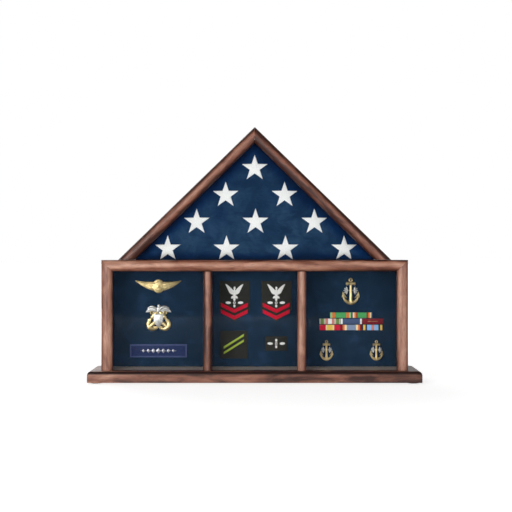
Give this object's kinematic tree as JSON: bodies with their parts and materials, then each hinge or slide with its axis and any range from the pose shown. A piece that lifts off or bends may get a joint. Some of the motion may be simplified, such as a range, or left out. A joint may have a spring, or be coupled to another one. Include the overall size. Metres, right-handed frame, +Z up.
{
  "type": "folded flag display case",
  "caption": "Walnut display case: a glazed triangle holding a folded flag, on a low glazed case with insignia bays and a moulded base.",
  "frame": {"origin": "under the middle of the base, on the surface that the felt feet stand on", "axes": "+Z up, the glass faces -Y, +X to the right as the case is looked at"},
  "size_m": [0.5588, 0.11, 0.4299],
  "materials": {
    "walnut": "satin lacquered walnut",
    "hardboard": "matt brown hardboard",
    "glass": "clear polished",
    "felt": "black felt",
    "velvet": "navy short-pile velvet",
    "flag_cloth": "navy woven cotton with white embroidered stars",
    "brass": "satin brass",
    "gold": "bright gilt",
    "silver": "bright silver plate",
    "name_plate": "dark blue gloss with a lighter rim",
    "badge_cloth": "black serge with embroidery",
    "ribbon": "ribbed woven silk, striped in colours"
  },
  "bodies": {
    "case": {"base_board": "walnut", "felt_foot_front_left": "felt", "felt_foot_front_right": "felt", "felt_foot_rear_left": "felt", "felt_foot_rear_right": "felt", "base_screw_front_left": "brass", "base_screw_front_right": "brass", "base_screw_rear_left": "brass", "base_screw_rear_right": "brass", "case_side_left": "walnut", "case_side_right": "walnut", "case_top_board": "walnut", "partition_left": "walnut", "partition_right": "walnut", "stile_left": "walnut", "stile_right": "walnut", "top_rail": "walnut", "mullion_left": "walnut", "mullion_right": "walnut", "front_glass": "glass", "glass_bead_left": "walnut", "glass_bead_right": "walnut", "flag_wall_left": "walnut", "flag_wall_right": "walnut", "flag_moulding_left": "walnut", "flag_moulding_right": "walnut", "flag_glass": "glass", "flag_bead_left": "walnut", "flag_bead_right": "walnut", "folded_flag": "flag_cloth", "button_screw_side_left": "brass", "button_screw_side_right": "brass", "button_screw_top_left": "brass", "button_screw_top_right": "brass", "button_screw_flag_left": "brass", "button_screw_flag_right": "brass"},
    "case_back": {"case_back_panel": "hardboard", "velvet_board_left": "velvet", "velvet_board_centre": "velvet", "velvet_board_right": "velvet", "wings_badge": "gold", "crest_badge": "silver", "name_plate": "name_plate", "rating_badge_left": "badge_cloth", "rating_badge_right": "badge_cloth", "stripe_patch": "badge_cloth", "propeller_patch": "badge_cloth", "anchor_large": "gold", "anchor_left": "gold", "anchor_right": "gold", "ribbon_row_upper": "ribbon", "ribbon_row_middle": "ribbon", "ribbon_row_lower": "ribbon"},
    "flag_back": {"flag_back_panel": "hardboard"},
    "button_side_left": {"turn_button_side_left": "brass"},
    "button_side_right": {"turn_button_side_right": "brass"},
    "button_top_left": {"turn_button_top_left": "brass"},
    "button_top_right": {"turn_button_top_right": "brass"},
    "button_flag_left": {"turn_button_flag_left": "brass"},
    "button_flag_right": {"turn_button_flag_right": "brass"}
  },
  "joints": [
    {"name": "case_back_off", "type": "slide", "parent": "case", "child": "case_back", "axis": [0, 1, 0], "range_m": [0, 0.08]},
    {"name": "flag_back_off", "type": "slide", "parent": "case", "child": "flag_back", "axis": [0, 1, 0], "range_m": [0, 0.08]},
    {"name": "turn_side_left", "type": "hinge", "parent": "case", "child": "button_side_left", "pos_m": [-0.25281, 0.0441, 0.10411], "axis": [0, -1, 0], "range_deg": [0, 90]},
    {"name": "turn_side_right", "type": "hinge", "parent": "case", "child": "button_side_right", "pos_m": [0.25281, 0.0441, 0.10411], "axis": [0, 1, 0], "range_deg": [0, 90]},
    {"name": "turn_top_left", "type": "hinge", "parent": "case", "child": "button_top_left", "pos_m": [-0.1289, 0.0441, 0.20125], "axis": [0, -1, 0], "range_deg": [0, 90]},
    {"name": "turn_top_right", "type": "hinge", "parent": "case", "child": "button_top_right", "pos_m": [0.1289, 0.0441, 0.20125], "axis": [0, 1, 0], "range_deg": [0, 90]},
    {"name": "turn_flag_left", "type": "hinge", "parent": "case", "child": "button_flag_left", "pos_m": [-0.10685, 0.0441, 0.31904], "axis": [0, -1, 0], "range_deg": [0, 90]},
    {"name": "turn_flag_right", "type": "hinge", "parent": "case", "child": "button_flag_right", "pos_m": [0.10685, 0.0441, 0.31904], "axis": [0, 1, 0], "range_deg": [0, 90]}
  ]
}
